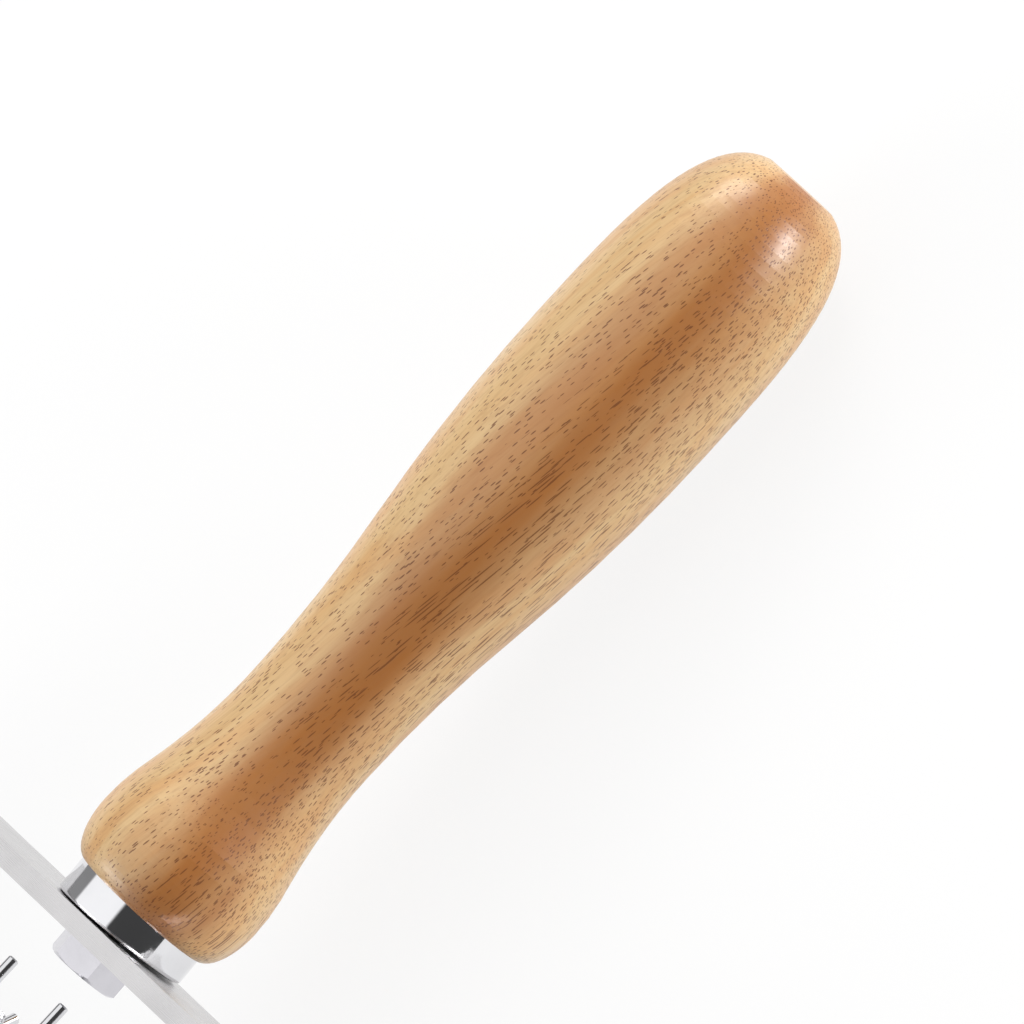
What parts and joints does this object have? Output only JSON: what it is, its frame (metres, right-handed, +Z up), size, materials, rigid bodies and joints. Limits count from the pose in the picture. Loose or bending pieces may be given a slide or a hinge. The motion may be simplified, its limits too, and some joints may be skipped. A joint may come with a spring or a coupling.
{
  "type": "dough docker",
  "caption": "Dough docker with a turned wooden handle, a steel yoke and a free-turning roller with rows of blunt steel pins.",
  "frame": {"origin": "on the worktop, under the middle of the tool's outline, as it lies on its pins and on the swell of its handle", "axes": "+Z up from the worktop, +Y towards the butt of the handle, +X along the roller's axle"},
  "size_m": [0.1622, 0.2108, 0.0636],
  "materials": {
    "wood": "lacquered",
    "chrome": "polished",
    "yoke_steel": "satin",
    "bolt_steel": "plated",
    "barrel_steel": "satin",
    "cap_steel": "turned",
    "pin_steel": "polished",
    "brass": "turned"
  },
  "bodies": {
    "frame": {"handle": "wood", "handle_insert": "brass", "handle_bolt": "bolt_steel", "ferrule": "chrome", "yoke": "yoke_steel", "axle": "bolt_steel", "cap_nuts": "chrome", "outer_washers": "bolt_steel", "thrust_washers": "bolt_steel"},
    "roller": {"roller_barrel": "barrel_steel", "end_cap_left": "cap_steel", "end_cap_right": "cap_steel", "bush_left": "brass", "bush_right": "brass", "pin_row_01": "pin_steel", "pin_row_02": "pin_steel", "pin_row_03": "pin_steel", "pin_row_04": "pin_steel", "pin_row_05": "pin_steel", "pin_row_06": "pin_steel", "pin_row_07": "pin_steel", "pin_row_08": "pin_steel", "pin_row_09": "pin_steel", "pin_row_10": "pin_steel"}
  },
  "joints": [
    {"name": "roller_spin", "type": "hinge", "parent": "frame", "child": "roller", "pos_m": [0, -0.07381, 0.03181], "axis": [1, 0, 0], "continuous": true}
  ]
}
